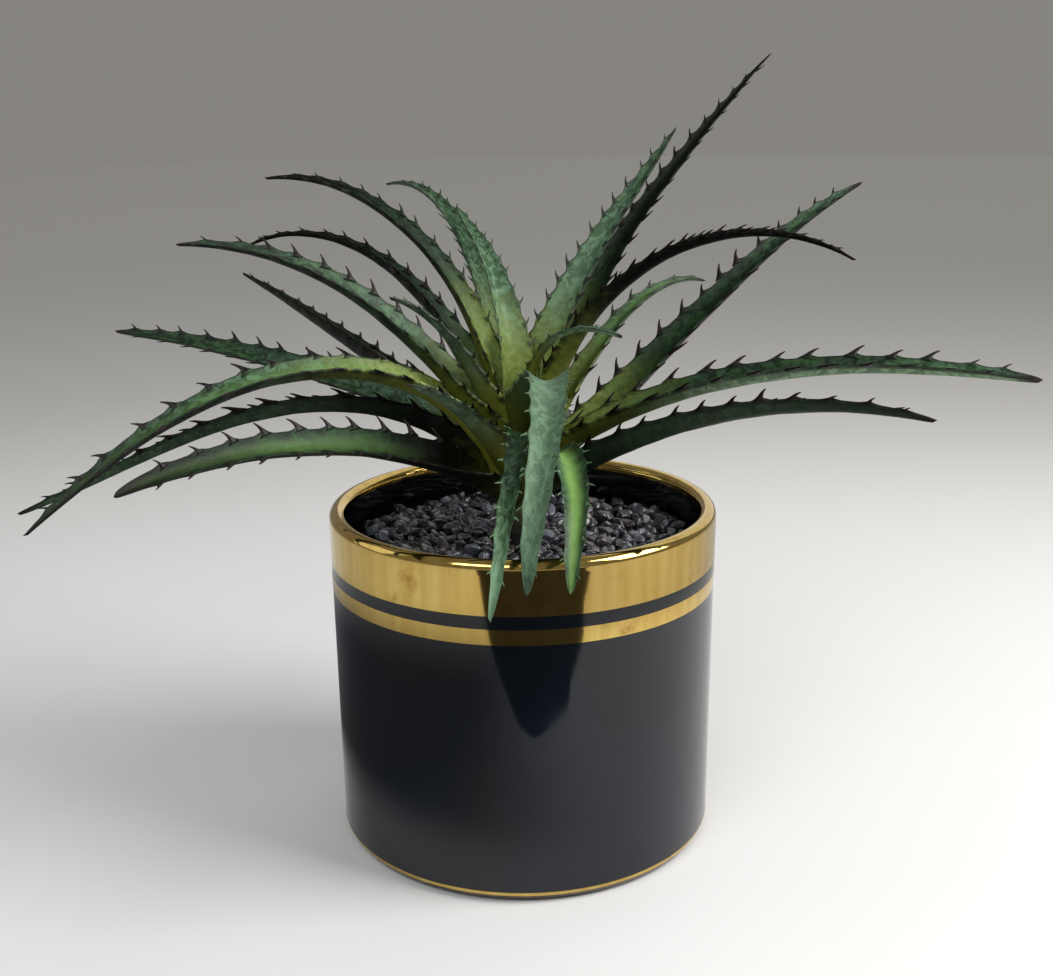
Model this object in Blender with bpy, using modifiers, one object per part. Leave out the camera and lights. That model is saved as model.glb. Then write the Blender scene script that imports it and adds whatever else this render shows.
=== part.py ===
"""Potted aloe: a ceramic planter with its soil, gravel, crown stem and toothed leaves.

Units are metres, +Z is up, and the origin is the centre of the planter's flat base.
Azimuths are in degrees, anticlockwise from +X, seen from above.
"""

import math
from collections import namedtuple

import bmesh
import bpy
from mathutils import Vector, noise

COLLECTION = "potted_aloe"
MM = 0.001

# Planter
POT_RADIUS = 0.060
POT_HEIGHT = 0.105
POT_WALL = 0.005
POT_FLOOR = 0.006
POT_DRAW_IN = 0.0007
FOOT_ROUND = 0.0035
FLOOR_FILLET = 0.006
ARC_POINTS = 4
POT_STEPS = 48

# Soil and gravel
TOUCH_GAP = 0.0003
GRAVEL_HEADSPACE = 0.0105
GRAVEL_DEPTH = 0.012
GRAVEL_MOUND = 0.0020
GRAVEL_BUMP = 0.0013
GRAVEL_STONE = 0.0048
GRAVEL_RINGS = 10
SOIL_STEPS = 32

# Crown stem
STEM_RADIUS = 0.0060
STEM_TOP_RADIUS = 0.0030
STEM_STRAIGHT = 0.0135
STEM_ABOVE_LEAVES = 0.0015
STEM_ROOT_DEPTH = 0.045
STEM_STEPS = 20

# Leaves
LEAF_CLEARANCE = 0.0004
LEAF_LEAST_THICKNESS = 0.0005
LEAF_THICKNESS_SHARE = 0.13
LEAF_BASE_SHARE = 0.5
LEAF_SWELL_SHARE = 0.16
LEAF_TAPER_POWER = 0.6
LEAF_CHANNEL_SHARE = 0.26
LEAF_KEEL_SHARE = 0.27
TOOTH_PITCH = 0.0105
TOOTH_REACH = 0.0026
TOOTH_LEAN_SHARE = 0.7
TOOTH_PEAK_SHARE = 0.35
TOOTH_FIRST = 0.012

# Azimuth at the stem, sideways turn by the tip, height of the base above the gravel, length,
# greatest width, and the angle above the horizontal at the base, the middle and the tip.
# Degrees and millimetres.
Leaf = namedtuple("Leaf", "azimuth turn height length width rise")
LEAVES = {
    "leaf_left_01": Leaf(110, 18, 36.3, 120, 9.0, (62, 42, -10)),
    "leaf_left_02": Leaf(113, 0, 42, 79, 8.5, (98, 44, 25)),
    "leaf_left_03": Leaf(164, 9, 38, 112, 10.0, (78, 48, -6)),
    "leaf_left_04": Leaf(156, 20, 33.1, 109, 10.0, (60, 42, -25)),
    "leaf_left_05": Leaf(207, 3, 34.5, 58, 6.0, (58, 55, 17)),
    "leaf_left_06": Leaf(196, -7, 30.3, 117, 11.0, (54, 38, -3)),
    "leaf_left_07": Leaf(132, 0, 22.5, 160, 9.0, (20, 17, 13)),
    "leaf_left_08": Leaf(153, 8, 27.8, 150, 9.5, (18, 11, 3)),
    "leaf_left_09": Leaf(204, 12, 20.8, 165, 10.5, (70, -5, -36)),
    "leaf_left_10": Leaf(188, -9, 16.5, 163, 10.0, (61, -12, -21)),
    "leaf_left_11": Leaf(223, 0, 14.5, 134, 9.5, (35, 11, -13)),
    "leaf_left_12": Leaf(241, -1, 23, 66, 6.5, (44, 34, 18)),
    "leaf_front_01": Leaf(270, -10, 30, 105, 6.0, (34, -16, -42)),
    "leaf_front_02": Leaf(285, -34, 37, 126, 11.5, (44, -8, -80)),
    "leaf_front_03": Leaf(294, -36, 18.5, 92, 8.5, (46, -5, -66)),
    "leaf_right_01": Leaf(44, 0, 32, 165, 9.0, (65, 42, 34)),
    "leaf_right_02": Leaf(34, -3, 41.5, 98, 9.0, (78, 53, 50)),
    "leaf_right_03": Leaf(344, -2, 33.1, 125, 9.5, (80, 33, -30)),
    "leaf_right_04": Leaf(28, 10, 21, 160, 10.5, (30, 35, 15)),
    "leaf_right_05": Leaf(36, -2, 28.5, 87, 7.0, (44, 42, -16)),
    "leaf_right_06": Leaf(299, 1, 46.5, 60, 6.0, (72, 21, -5)),
    "leaf_right_07": Leaf(341, 1, 24, 150, 11.0, (40, 11, -6)),
    "leaf_right_08": Leaf(325, 0, 16, 129, 9.5, (34, 18, -7)),
    "leaf_right_09": Leaf(73, -3, 39, 80, 5.5, (29, 27, -13)),
    "leaf_rear_01": Leaf(92, 0, 13.5, 92, 9.0, (18, 0, -40)),
    "leaf_rear_02": Leaf(105, 0, 17.5, 80, 7.0, (26, 0, -45)),
    "leaf_rear_03": Leaf(77, 0, 18.5, 80, 7.0, (28, 0, -45)),
}

CAVITY_RADIUS = POT_RADIUS - POT_WALL
FILL_RADIUS = CAVITY_RADIUS - TOUCH_GAP
GRAVEL_TOP = POT_HEIGHT - GRAVEL_HEADSPACE
GRAVEL_BOTTOM = GRAVEL_TOP - GRAVEL_DEPTH
SOIL_TOP = GRAVEL_BOTTOM - TOUCH_GAP
SOIL_BOTTOM = POT_FLOOR + TOUCH_GAP
STEM_BOTTOM = GRAVEL_TOP - STEM_ROOT_DEPTH
STEM_RISE = max(leaf.height for leaf in LEAVES.values()) * MM + STEM_ABOVE_LEAVES
STEM_TOP = GRAVEL_TOP + STEM_RISE
HOLE_RADIUS = STEM_RADIUS + TOUCH_GAP


def lerp(start, end, share):
    return start + (end - start) * share


def smooth_step(share):
    share = min(max(share, 0.0), 1.0)
    return share * share * (3 - 2 * share)


def arc(centre, radii, from_degrees, to_degrees, points=ARC_POINTS):
    """Points of an elliptical arc in the XZ plane, both ends included."""
    made = []
    for i in range(points + 1):
        angle = math.radians(lerp(from_degrees, to_degrees, i / points))
        x = centre[0] + radii[0] * math.cos(angle)
        z = centre[1] + radii[1] * math.sin(angle)
        made.append((x, z))
    return made


def material(name, colour, roughness, metallic=0.0):
    made = bpy.data.materials.new(name)
    made.use_nodes = True
    shader = made.node_tree.nodes["Principled BSDF"]
    shader.inputs["Base Color"].default_value = (*colour, 1.0)
    shader.inputs["Roughness"].default_value = roughness
    shader.inputs["Metallic"].default_value = metallic
    return made


def add_object(name, mesh, finish):
    mesh.materials.append(finish)
    made = bpy.data.objects.new(name, mesh)
    bpy.data.collections[COLLECTION].objects.link(made)
    return made


def turned(name, profile, steps, finish):
    """Screw a profile in the XZ plane round Z. Its outer side runs from top to bottom."""
    mesh = bpy.data.meshes.new(name)
    edges = [(i, i + 1) for i in range(len(profile) - 1)]
    mesh.from_pydata([(x, 0, z) for x, z in profile], edges, [])
    made = add_object(name, mesh, finish)
    screw = made.modifiers.new("turn", "SCREW")
    screw.steps = steps
    screw.render_steps = steps
    screw.use_merge_vertices = True
    screw.merge_threshold = 0.00001
    screw.use_smooth_shade = True
    return made


def pot():
    half_wall = POT_WALL / 2
    lip_centre = (POT_RADIUS - half_wall, POT_HEIGHT - half_wall)
    fillet_centre = (CAVITY_RADIUS - FLOOR_FILLET, POT_FLOOR + FLOOR_FILLET)
    foot_radius = POT_RADIUS - POT_DRAW_IN
    foot_centre = (foot_radius - FOOT_ROUND, FOOT_ROUND)
    profile = [(0, POT_FLOOR)]
    profile += arc(fillet_centre, (FLOOR_FILLET, FLOOR_FILLET), -90, 0)
    profile += arc(lip_centre, (half_wall, half_wall), 180, 0, 2 * ARC_POINTS)
    profile += arc(foot_centre, (FOOT_ROUND, FOOT_ROUND), 0, -90)
    profile += [(0, 0)]
    turned("pot", profile, POT_STEPS, material("pot_glaze", (0.02, 0.023, 0.03), 0.12))


def soil():
    profile = [
        (0, STEM_BOTTOM - TOUCH_GAP),
        (HOLE_RADIUS, STEM_BOTTOM - TOUCH_GAP),
        (HOLE_RADIUS, SOIL_TOP),
        (FILL_RADIUS, SOIL_TOP),
        (FILL_RADIUS, SOIL_BOTTOM + FLOOR_FILLET),
        (FILL_RADIUS - FLOOR_FILLET, SOIL_BOTTOM),
        (0, SOIL_BOTTOM),
    ]
    turned("soil", profile, SOIL_STEPS, material("soil", (0.05, 0.035, 0.025), 0.95))


def gravel_height(radius, azimuth):
    """Top of the gravel: a low mound with one rounded bump for each stone."""
    x, y = radius * math.cos(azimuth), radius * math.sin(azimuth)
    edge = (radius - HOLE_RADIUS) / (FILL_RADIUS - HOLE_RADIUS)
    nearest = noise.voronoi(Vector((x, y, 0)) / GRAVEL_STONE)[0][0]
    bump = GRAVEL_BUMP * (1 - min(nearest, 1) ** 2)
    return GRAVEL_TOP - GRAVEL_BUMP + bump + GRAVEL_MOUND * (1 - edge) ** 2


def gravel():
    shape = bmesh.new()
    rings = []
    for i in range(GRAVEL_RINGS + 1):
        radius = lerp(HOLE_RADIUS, FILL_RADIUS, i / GRAVEL_RINGS)
        rings.append((radius, gravel_height))
    rings.append((FILL_RADIUS, None))
    rings.append((HOLE_RADIUS, None))
    loops = []
    for radius, height in rings:
        loop = []
        for step in range(POT_STEPS):
            azimuth = math.tau * step / POT_STEPS
            z = height(radius, azimuth) if height else GRAVEL_BOTTOM
            place = (radius * math.cos(azimuth), radius * math.sin(azimuth), z)
            loop.append(shape.verts.new(place))
        loops.append(loop)
    join_loops(shape, loops + loops[:1])
    finish_mesh("gravel", shape, material("gravel", (0.03, 0.032, 0.037), 0.35))


def join_loops(shape, loops):
    """Quads between each closed loop of vertices and the next."""
    for first, second in zip(loops, loops[1:]):
        count = len(first)
        for i in range(count):
            j = (i + 1) % count
            shape.faces.new((first[i], second[i], second[j], first[j]))


def finish_mesh(name, shape, finish):
    bmesh.ops.recalc_face_normals(shape, faces=shape.faces)
    mesh = bpy.data.meshes.new(name)
    shape.to_mesh(mesh)
    shape.free()
    mesh.shade_smooth()
    return add_object(name, mesh, finish)


def stem_radius(height):
    """Radius of the stem at a height above the gravel."""
    share = (height - STEM_STRAIGHT) / (STEM_RISE - STEM_STRAIGHT)
    return lerp(STEM_RADIUS, STEM_TOP_RADIUS, min(max(share, 0), 1))


def stem():
    round_centre = (0, STEM_TOP - STEM_TOP_RADIUS)
    profile = arc(round_centre, (STEM_TOP_RADIUS, STEM_TOP_RADIUS), 90, 0)
    profile += [
        (STEM_RADIUS, GRAVEL_TOP + STEM_STRAIGHT),
        (STEM_RADIUS, STEM_BOTTOM),
        (0, STEM_BOTTOM),
    ]
    turned("stem", profile, STEM_STEPS, material("stem", (0.09, 0.11, 0.03), 0.7))


def leaf_rise(leaf, share):
    """Angle above the horizontal, by the parabola through its three values."""
    base, middle, tip = leaf.rise
    early = base * (1 - share) * (1 - 2 * share)
    late = tip * share * (2 * share - 1)
    return math.radians(early + middle * 4 * share * (1 - share) + late)


def leaf_directions(leaf, share):
    """Along the leaf, to its left, and out of its upper face, with its base azimuth as +X."""
    rise = leaf_rise(leaf, share)
    swing = math.radians(leaf.turn) * share
    ahead = Vector((math.cos(swing), math.sin(swing), 0))
    along = ahead * math.cos(rise) + Vector((0, 0, math.sin(rise)))
    left = Vector((-math.sin(swing), math.cos(swing), 0))
    return along, left, along.cross(left)


def leaf_width(leaf, share):
    swell = lerp(LEAF_BASE_SHARE, 1, smooth_step(share / LEAF_SWELL_SHARE))
    return leaf.width * MM * swell * (1 - share) ** LEAF_TAPER_POWER


def leaf_stations(leaf):
    """Shares of the length, in pairs: the foot of each tooth, then its point."""
    length = leaf.length * MM
    count = round((length - TOOTH_FIRST) / TOOTH_PITCH)
    pitch = (length - TOOTH_FIRST) / count
    made = [(0.0, False)]
    for i in range(count):
        foot = TOOTH_FIRST + i * pitch
        made.append((foot / length, False))
        made.append(((foot + TOOTH_PEAK_SHARE * pitch) / length, True))
    return made


def leaf_section(leaf, share, toothed):
    """Outline across the leaf as offsets to its left, up and along: a shallow channel."""
    width = leaf_width(leaf, share)
    depth = LEAF_LEAST_THICKNESS + LEAF_THICKNESS_SHARE * width
    edge = width / 2
    brim = LEAF_CHANNEL_SHARE * width
    reach = TOOTH_REACH * min(1, 2 * width / (leaf.width * MM)) if toothed else 0
    lean = reach * TOOTH_LEAN_SHARE
    keel = LEAF_KEEL_SHARE * width
    return (
        (edge + reach, brim + reach / 2, lean),
        (0, 0, 0),
        (-edge - reach, brim + reach / 2, lean),
        (-keel, -depth, 0),
        (keel, -depth, 0),
    )


def leaf_mesh(leaf):
    """Loft of the sections along the leaf, from the origin, ending in a point."""
    shape = bmesh.new()
    place = Vector((0, 0, 0))
    last = 0.0
    loops = []
    for share, toothed in leaf_stations(leaf):
        along = leaf_directions(leaf, (last + share) / 2)[0]
        place = place + along * (share - last) * leaf.length * MM
        along, left, up = leaf_directions(leaf, share)
        loop = []
        for side, height, ahead in leaf_section(leaf, share, toothed):
            loop.append(shape.verts.new(place + left * side + up * height + along * ahead))
        loops.append(loop)
        last = share
    join_loops(shape, loops)
    shape.faces.new(loops[0])
    along = leaf_directions(leaf, (last + 1) / 2)[0]
    tip = shape.verts.new(place + along * (1 - last) * leaf.length * MM)
    end = loops[-1]
    for i in range(len(end)):
        shape.faces.new((end[i], end[(i + 1) % len(end)], tip))
    return shape


def leaf_base(leaf):
    """Where the leaf starts: just off the stem, further off when it rises steeply."""
    height = leaf.height * MM
    steep = math.sin(math.radians(min(leaf.rise[0], 90)))
    depth = LEAF_LEAST_THICKNESS + LEAF_THICKNESS_SHARE * leaf.width * MM * LEAF_BASE_SHARE
    out = stem_radius(height) + LEAF_CLEARANCE + depth * steep
    azimuth = math.radians(leaf.azimuth)
    return Vector((out * math.cos(azimuth), out * math.sin(azimuth), GRAVEL_TOP + height))


def leaves():
    finish = material("leaf", (0.06, 0.16, 0.07), 0.45)
    for name, leaf in LEAVES.items():
        made = finish_mesh(name, leaf_mesh(leaf), finish)
        made.location = leaf_base(leaf)
        made.rotation_euler.z = math.radians(leaf.azimuth)


def clear_scene():
    for old in list(bpy.data.objects):
        bpy.data.objects.remove(old, do_unlink=True)
    collection = bpy.data.collections.new(COLLECTION)
    bpy.context.scene.collection.children.link(collection)


def main():
    clear_scene()
    pot()
    soil()
    gravel()
    stem()
    leaves()
    holder = bpy.data.objects.new("potted_aloe_origin", None)
    bpy.data.collections[COLLECTION].objects.link(holder)
    for made in bpy.data.collections[COLLECTION].objects:
        if made is not holder:
            made.parent = holder


main()
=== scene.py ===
import math
import random
from collections import namedtuple

import bmesh
import bpy
import numpy as np
from mathutils import Matrix, Vector, noise


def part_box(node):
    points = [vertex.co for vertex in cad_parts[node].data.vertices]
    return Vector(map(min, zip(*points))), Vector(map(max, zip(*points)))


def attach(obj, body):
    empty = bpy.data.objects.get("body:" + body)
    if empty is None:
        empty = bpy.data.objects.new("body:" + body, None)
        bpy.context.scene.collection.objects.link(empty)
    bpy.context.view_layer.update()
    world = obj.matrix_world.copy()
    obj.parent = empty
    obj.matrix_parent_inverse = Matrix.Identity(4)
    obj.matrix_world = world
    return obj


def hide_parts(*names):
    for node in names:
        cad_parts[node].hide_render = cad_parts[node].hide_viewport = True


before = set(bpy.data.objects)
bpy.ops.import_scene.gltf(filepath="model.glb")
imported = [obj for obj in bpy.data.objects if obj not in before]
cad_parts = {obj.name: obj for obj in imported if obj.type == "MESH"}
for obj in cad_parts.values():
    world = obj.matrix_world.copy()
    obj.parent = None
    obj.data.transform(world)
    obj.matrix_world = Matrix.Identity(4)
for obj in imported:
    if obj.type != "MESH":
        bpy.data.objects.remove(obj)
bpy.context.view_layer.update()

MM = 0.001

# ---------------------------------------------------------------- places, from the frame
_, POT_HIGH = (Vector(corner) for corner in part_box("pot"))
GRAVEL_LOW, GRAVEL_HIGH = (Vector(corner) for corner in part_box("gravel"))
STEM_LOW, STEM_HIGH = (Vector(corner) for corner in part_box("stem"))
POT_RADIUS = POT_HIGH.x
POT_HEIGHT = POT_HIGH.z

# ---------------------------------------------------------------- the design's own sizes
POT_WALL = 5.0 * MM
POT_FLOOR = 6.0 * MM
POT_DRAW_IN = 0.7 * MM
FOOT_ROUND = 3.5 * MM
FLOOR_FILLET = 6.0 * MM
STEM_RINGS = 46
SCAR_DEPTH = 0.25 * MM
SCAR_PITCH = 3.2 * MM
LIP_ROUND = POT_WALL / 2
LIP_CENTRE = (POT_RADIUS - LIP_ROUND, POT_HEIGHT - LIP_ROUND)
FOOT_CENTRE = (POT_RADIUS - POT_DRAW_IN - FOOT_ROUND, FOOT_ROUND)
GRAVEL_TOP = POT_HEIGHT - 10.5 * MM
GRAVEL_MOUND = 2.0 * MM
STEM_RADIUS = 6.0 * MM
STEM_TOP_RADIUS = 3.0 * MM
STEM_STRAIGHT = 13.5 * MM
STEM_RISE = STEM_HIGH.z - GRAVEL_TOP
LEAF_CLEARANCE = 0.4 * MM
LEAF_LEAST_THICKNESS = 0.5 * MM
LEAF_THICKNESS_SHARE = 0.13
LEAF_BASE_SHARE = 0.5

# Gilding on the pot, as heights
GILT_BAND_LOW = 89.3 * MM
GILT_THIN_HIGH = 85.4 * MM
GILT_THIN_LOW = 80.8 * MM
GILT_INSIDE_LOW = 102.0 * MM
GILT_FOOT_HIGH = 3.4 * MM
GILT_FOOT_LOW = 2.3 * MM
GILT_PROUD = 0.05 * MM

POT_STEPS = 256
LIP_POINTS = 28
FOOT_POINTS = 14
SHARP_DEGREES = 40


# ---------------------------------------------------------------- helpers
def srgb(red, green, blue):
    """A linear colour from 0 to 255 display values."""
    made = []
    for value in (red, green, blue):
        value /= 255
        made.append(value / 12.92 if value <= 0.04045 else ((value + 0.055) / 1.055) ** 2.4)
    return (*made, 1.0)


def straight(start, end, count):
    """Evenly spaced points after start, up to and with end."""
    return [
        (lerp(start[0], end[0], i / count), lerp(start[1], end[1], i / count))
        for i in range(1, count + 1)
    ]


def lerp(start, end, share):
    return start + (end - start) * share


def smooth_step(share):
    share = min(max(share, 0.0), 1.0)
    return share * share * (3 - 2 * share)


def arc(centre, radius, from_degrees, to_degrees, points):
    made = []
    for i in range(points + 1):
        angle = math.radians(lerp(from_degrees, to_degrees, i / points))
        made.append((centre[0] + radius * math.cos(angle), centre[1] + radius * math.sin(angle)))
    return made


def add_mesh(name, vertices, faces, finish, attributes=None):
    """A smooth-shaded mesh object, with named numbers at its vertices."""
    mesh = bpy.data.meshes.new(name)
    mesh.from_pydata([tuple(v) for v in vertices], [], [tuple(f) for f in faces])
    mesh.shade_smooth()
    mesh.materials.append(finish)
    for key, values in (attributes or {}).items():
        layer = mesh.attributes.new(key, "FLOAT", "POINT")
        layer.data.foreach_set("value", np.asarray(values, np.float32))
    made = bpy.data.objects.new(name, mesh)
    bpy.context.scene.collection.objects.link(made)
    return made


def lathe(name, profile, finish, steps=POT_STEPS, closed=False):
    """Turns a profile of (radius, height) round Z. Points on the axis become one vertex."""
    vertices, rings, faces = [], [], []
    for radius, height in profile:
        if radius < 1e-7:
            vertices.append((0, 0, height))
            rings.append([len(vertices) - 1] * steps)
            continue
        first = len(vertices)
        for step in range(steps):
            angle = math.tau * step / steps
            vertices.append((radius * math.cos(angle), radius * math.sin(angle), height))
        rings.append(list(range(first, first + steps)))
    pairs = list(zip(rings, rings[1:]))
    if closed:
        pairs.append((rings[-1], rings[0]))
    for upper, lower in pairs:
        for i in range(steps):
            j = (i + 1) % steps
            corners = [upper[i], lower[i], lower[j], upper[j]]
            corners = [v for k, v in enumerate(corners) if v not in corners[:k]]
            faces.append(corners)
    made = add_mesh(name, vertices, faces, finish)
    made.data.set_sharp_from_angle(angle=math.radians(SHARP_DEGREES))
    return made


# ---------------------------------------------------------------- material building
class Nodes:
    """Short calls for building one material's nodes."""

    def __init__(self, name):
        self.material = bpy.data.materials.new(name)
        self.material.use_nodes = True
        self.tree = self.material.node_tree
        self.shader = self.tree.nodes["Principled BSDF"]

    def set(self, **sockets):
        """Sets or links sockets of the shader. Underscores stand for spaces."""
        for key, value in sockets.items():
            self.put(value, self.shader.inputs[key.replace("_", " ")])

    def put(self, value, socket):
        if isinstance(value, bpy.types.NodeSocket):
            self.tree.links.new(value, socket)
        else:
            socket.default_value = value

    def attribute(self, name):
        node = self.tree.nodes.new("ShaderNodeAttribute")
        node.attribute_name = name
        return node.outputs["Fac"]

    def object_coordinates(self):
        return self.tree.nodes.new("ShaderNodeTexCoord").outputs["Object"]

    def vector(self, x, y, z):
        node = self.tree.nodes.new("ShaderNodeCombineXYZ")
        for value, socket in zip((x, y, z), node.inputs):
            self.put(value, socket)
        return node.outputs[0]

    def separate(self, vector):
        node = self.tree.nodes.new("ShaderNodeSeparateXYZ")
        self.put(vector, node.inputs[0])
        return node.outputs

    def length(self, vector):
        node = self.tree.nodes.new("ShaderNodeVectorMath")
        node.operation = "LENGTH"
        self.put(vector, node.inputs[0])
        return node.outputs["Value"]

    def math(self, operation, first, second=0.0):
        node = self.tree.nodes.new("ShaderNodeMath")
        node.operation = operation
        self.put(first, node.inputs[0])
        self.put(second, node.inputs[1])
        return node.outputs[0]

    def noise(self, vector, scale, detail=3.0, roughness=0.55, distortion=0.0):
        node = self.tree.nodes.new("ShaderNodeTexNoise")
        self.put(vector, node.inputs["Vector"])
        node.inputs["Scale"].default_value = scale
        node.inputs["Detail"].default_value = detail
        node.inputs["Roughness"].default_value = roughness
        node.inputs["Distortion"].default_value = distortion
        return node.outputs["Fac"]

    def ramp(self, value, low, high):
        """0 below low, 1 above high, and smooth between them. low may be the greater."""
        node = self.tree.nodes.new("ShaderNodeMapRange")
        node.interpolation_type = "SMOOTHSTEP"
        self.put(value, node.inputs["Value"])
        rising = low < high
        node.inputs["From Min"].default_value = low if rising else high
        node.inputs["From Max"].default_value = high if rising else low
        node.inputs["To Min"].default_value = 0.0 if rising else 1.0
        node.inputs["To Max"].default_value = 1.0 if rising else 0.0
        return node.outputs["Result"]

    def mix(self, share, first, second):
        node = self.tree.nodes.new("ShaderNodeMix")
        node.data_type = "RGBA"
        self.put(share, node.inputs["Factor"])
        self.put(first, node.inputs["A"])
        self.put(second, node.inputs["B"])
        return node.outputs["Result"]

    def between(self, value, low, high):
        """The value from 0 to 1 spread from low to high."""
        node = self.tree.nodes.new("ShaderNodeMapRange")
        self.put(value, node.inputs["Value"])
        node.inputs["To Min"].default_value = low
        node.inputs["To Max"].default_value = high
        return node.outputs["Result"]

    def bump(self, height, distance, strength=1.0, over=None):
        node = self.tree.nodes.new("ShaderNodeBump")
        node.inputs["Distance"].default_value = distance
        node.inputs["Strength"].default_value = strength
        self.put(height, node.inputs["Height"])
        if over is not None:
            self.put(over, node.inputs["Normal"])
        return node.outputs["Normal"]


# ---------------------------------------------------------------- pot
def glaze_material():
    """Near-black glaze: glossy, faintly and unevenly blue, with odd pinholes, and painted brown at
    the foot as a reflection of the floor's contact shadow.
    """
    n = Nodes("pot_glaze")
    where = n.object_coordinates()
    cloud = n.ramp(n.noise(where, 14.0, 2.0), 0.35, 0.7)
    colour = n.mix(cloud, srgb(7, 11, 15), srgb(12, 19, 31))
    # Painted reflection: the glaze turns brown at the foot, as if it reflected the floor's contact
    # shadow.
    foot = n.ramp(n.separate(where)[2], 2.6 * MM, 1.6 * MM)
    colour = n.mix(foot, colour, srgb(58, 34, 20))
    pinhole = n.ramp(n.noise(where, 420.0, 1.0), 0.80, 0.86)
    colour = n.mix(pinhole, colour, srgb(12, 12, 13))
    smear = n.noise(where, 45.0, 4.0, 0.6)
    orange_peel = n.bump(n.noise(where, 130.0, 2.0), 0.02 * MM, 0.5)
    n.set(
        Base_Color=colour,
        Roughness=n.between(n.ramp(smear, 0.35, 0.75), 0.05, 0.12),
        Normal=n.bump(pinhole, -0.05 * MM, 0.6, orange_peel),
        Specular_IOR_Level=0.5,
        IOR=1.48,
    )
    return n.material


def gilding_material():
    """Bright gold lustre with faint vertical brush streaks and rubbed spots."""
    n = Nodes("gilding")
    where = n.object_coordinates()
    x, y, z = n.separate(where)
    streaks = n.noise(n.vector(x, y, n.math("MULTIPLY", z, 0.12)), 260.0, 3.0)
    rubbed = n.ramp(n.noise(where, 90.0, 4.0, 0.65), 0.55, 0.8)
    colour = n.mix(n.ramp(streaks, 0.3, 0.7), srgb(196, 164, 90), srgb(208, 180, 106))
    colour = n.mix(rubbed, colour, srgb(158, 120, 62))
    n.set(
        Base_Color=colour,
        Metallic=1.0,
        Roughness=n.between(n.math("MULTIPLY", rubbed, streaks), 0.07, 0.3),
        Normal=n.bump(n.noise(where, 160.0, 2.0), 0.012 * MM, 0.5),
    )
    return n.material


def pot_profile():
    """The wall's outline from the middle of the inside floor to the middle of the base."""
    cavity = POT_RADIUS - POT_WALL
    fillet = (cavity - FLOOR_FILLET, POT_FLOOR + FLOOR_FILLET)
    made = [(0, POT_FLOOR)]
    made += arc(fillet, FLOOR_FILLET, -90, 0, 10)
    made += straight(made[-1], (cavity, LIP_CENTRE[1]), 12)
    made += arc(LIP_CENTRE, LIP_ROUND, 180, 0, LIP_POINTS)[1:]
    made += straight(made[-1], (FOOT_CENTRE[0] + FOOT_ROUND, FOOT_ROUND), 30)
    made += arc(FOOT_CENTRE, FOOT_ROUND, 0, -90, FOOT_POINTS)[1:]
    return made + [(0, 0)]


def proud_of(profile, distance):
    """The open profile moved out along its own normals."""
    made = []
    for i, (x, z) in enumerate(profile):
        before = profile[max(i - 1, 0)]
        after = profile[min(i + 1, len(profile) - 1)]
        run, rise = after[0] - before[0], after[1] - before[1]
        size = math.hypot(run, rise)
        made.append((x - rise / size * distance, z + run / size * distance))
    return made


def gilt_ring(name, stretch, finish):
    """A thin closed shell of lustre that lies on a stretch of the pot's profile."""
    outer = proud_of(stretch, GILT_PROUD)
    inner = proud_of(stretch, -GILT_PROUD)
    ring = lathe(name, outer + inner[::-1], finish, closed=True)
    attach(ring, "root")


def wall_between(high, low, count):
    """Points on the pot's outside from one height down to another."""
    foot_radius = POT_RADIUS - POT_DRAW_IN
    made = []
    for i in range(count + 1):
        z = lerp(high, low, i / count)
        share = (z - FOOT_ROUND) / (LIP_CENTRE[1] - FOOT_ROUND)
        made.append((lerp(foot_radius, POT_RADIUS, share), z))
    return made


def foot_degrees(height):
    """Where on the foot's rounding this height lies."""
    return math.degrees(math.asin((height - FOOT_ROUND) / FOOT_ROUND))


def pot():
    body = lathe("pot_body", pot_profile(), glaze_material())
    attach(body, "root")
    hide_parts("pot")

    gilding = gilding_material()
    rim = [(POT_RADIUS - POT_WALL, GILT_INSIDE_LOW)]
    rim += arc(LIP_CENTRE, LIP_ROUND, 180, 0, LIP_POINTS)
    rim += wall_between(LIP_CENTRE[1], GILT_BAND_LOW, 8)[1:]
    gilt_ring("gilt_rim", rim, gilding)
    gilt_ring("gilt_band", wall_between(GILT_THIN_HIGH, GILT_THIN_LOW, 4), gilding)
    span = (foot_degrees(GILT_FOOT_HIGH), foot_degrees(GILT_FOOT_LOW))
    gilt_ring("gilt_foot", arc(FOOT_CENTRE, FOOT_ROUND, *span, FOOT_POINTS), gilding)


# ---------------------------------------------------------------- soil, gravel and stem
def soil_material():
    n = Nodes("soil")
    where = n.object_coordinates()
    crumbs = n.noise(where, 260.0, 6.0, 0.7)
    fibres = n.ramp(n.noise(where, 900.0, 2.0, 0.5, 1.5), 0.62, 0.72)
    colour = n.mix(n.ramp(crumbs, 0.3, 0.7), srgb(30, 23, 18), srgb(74, 58, 44))
    colour = n.mix(fibres, colour, srgb(110, 92, 70))
    n.set(
        Base_Color=colour,
        Roughness=n.between(crumbs, 0.85, 1.0),
        Normal=n.bump(crumbs, 1.0 * MM),
    )
    return n.material


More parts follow.
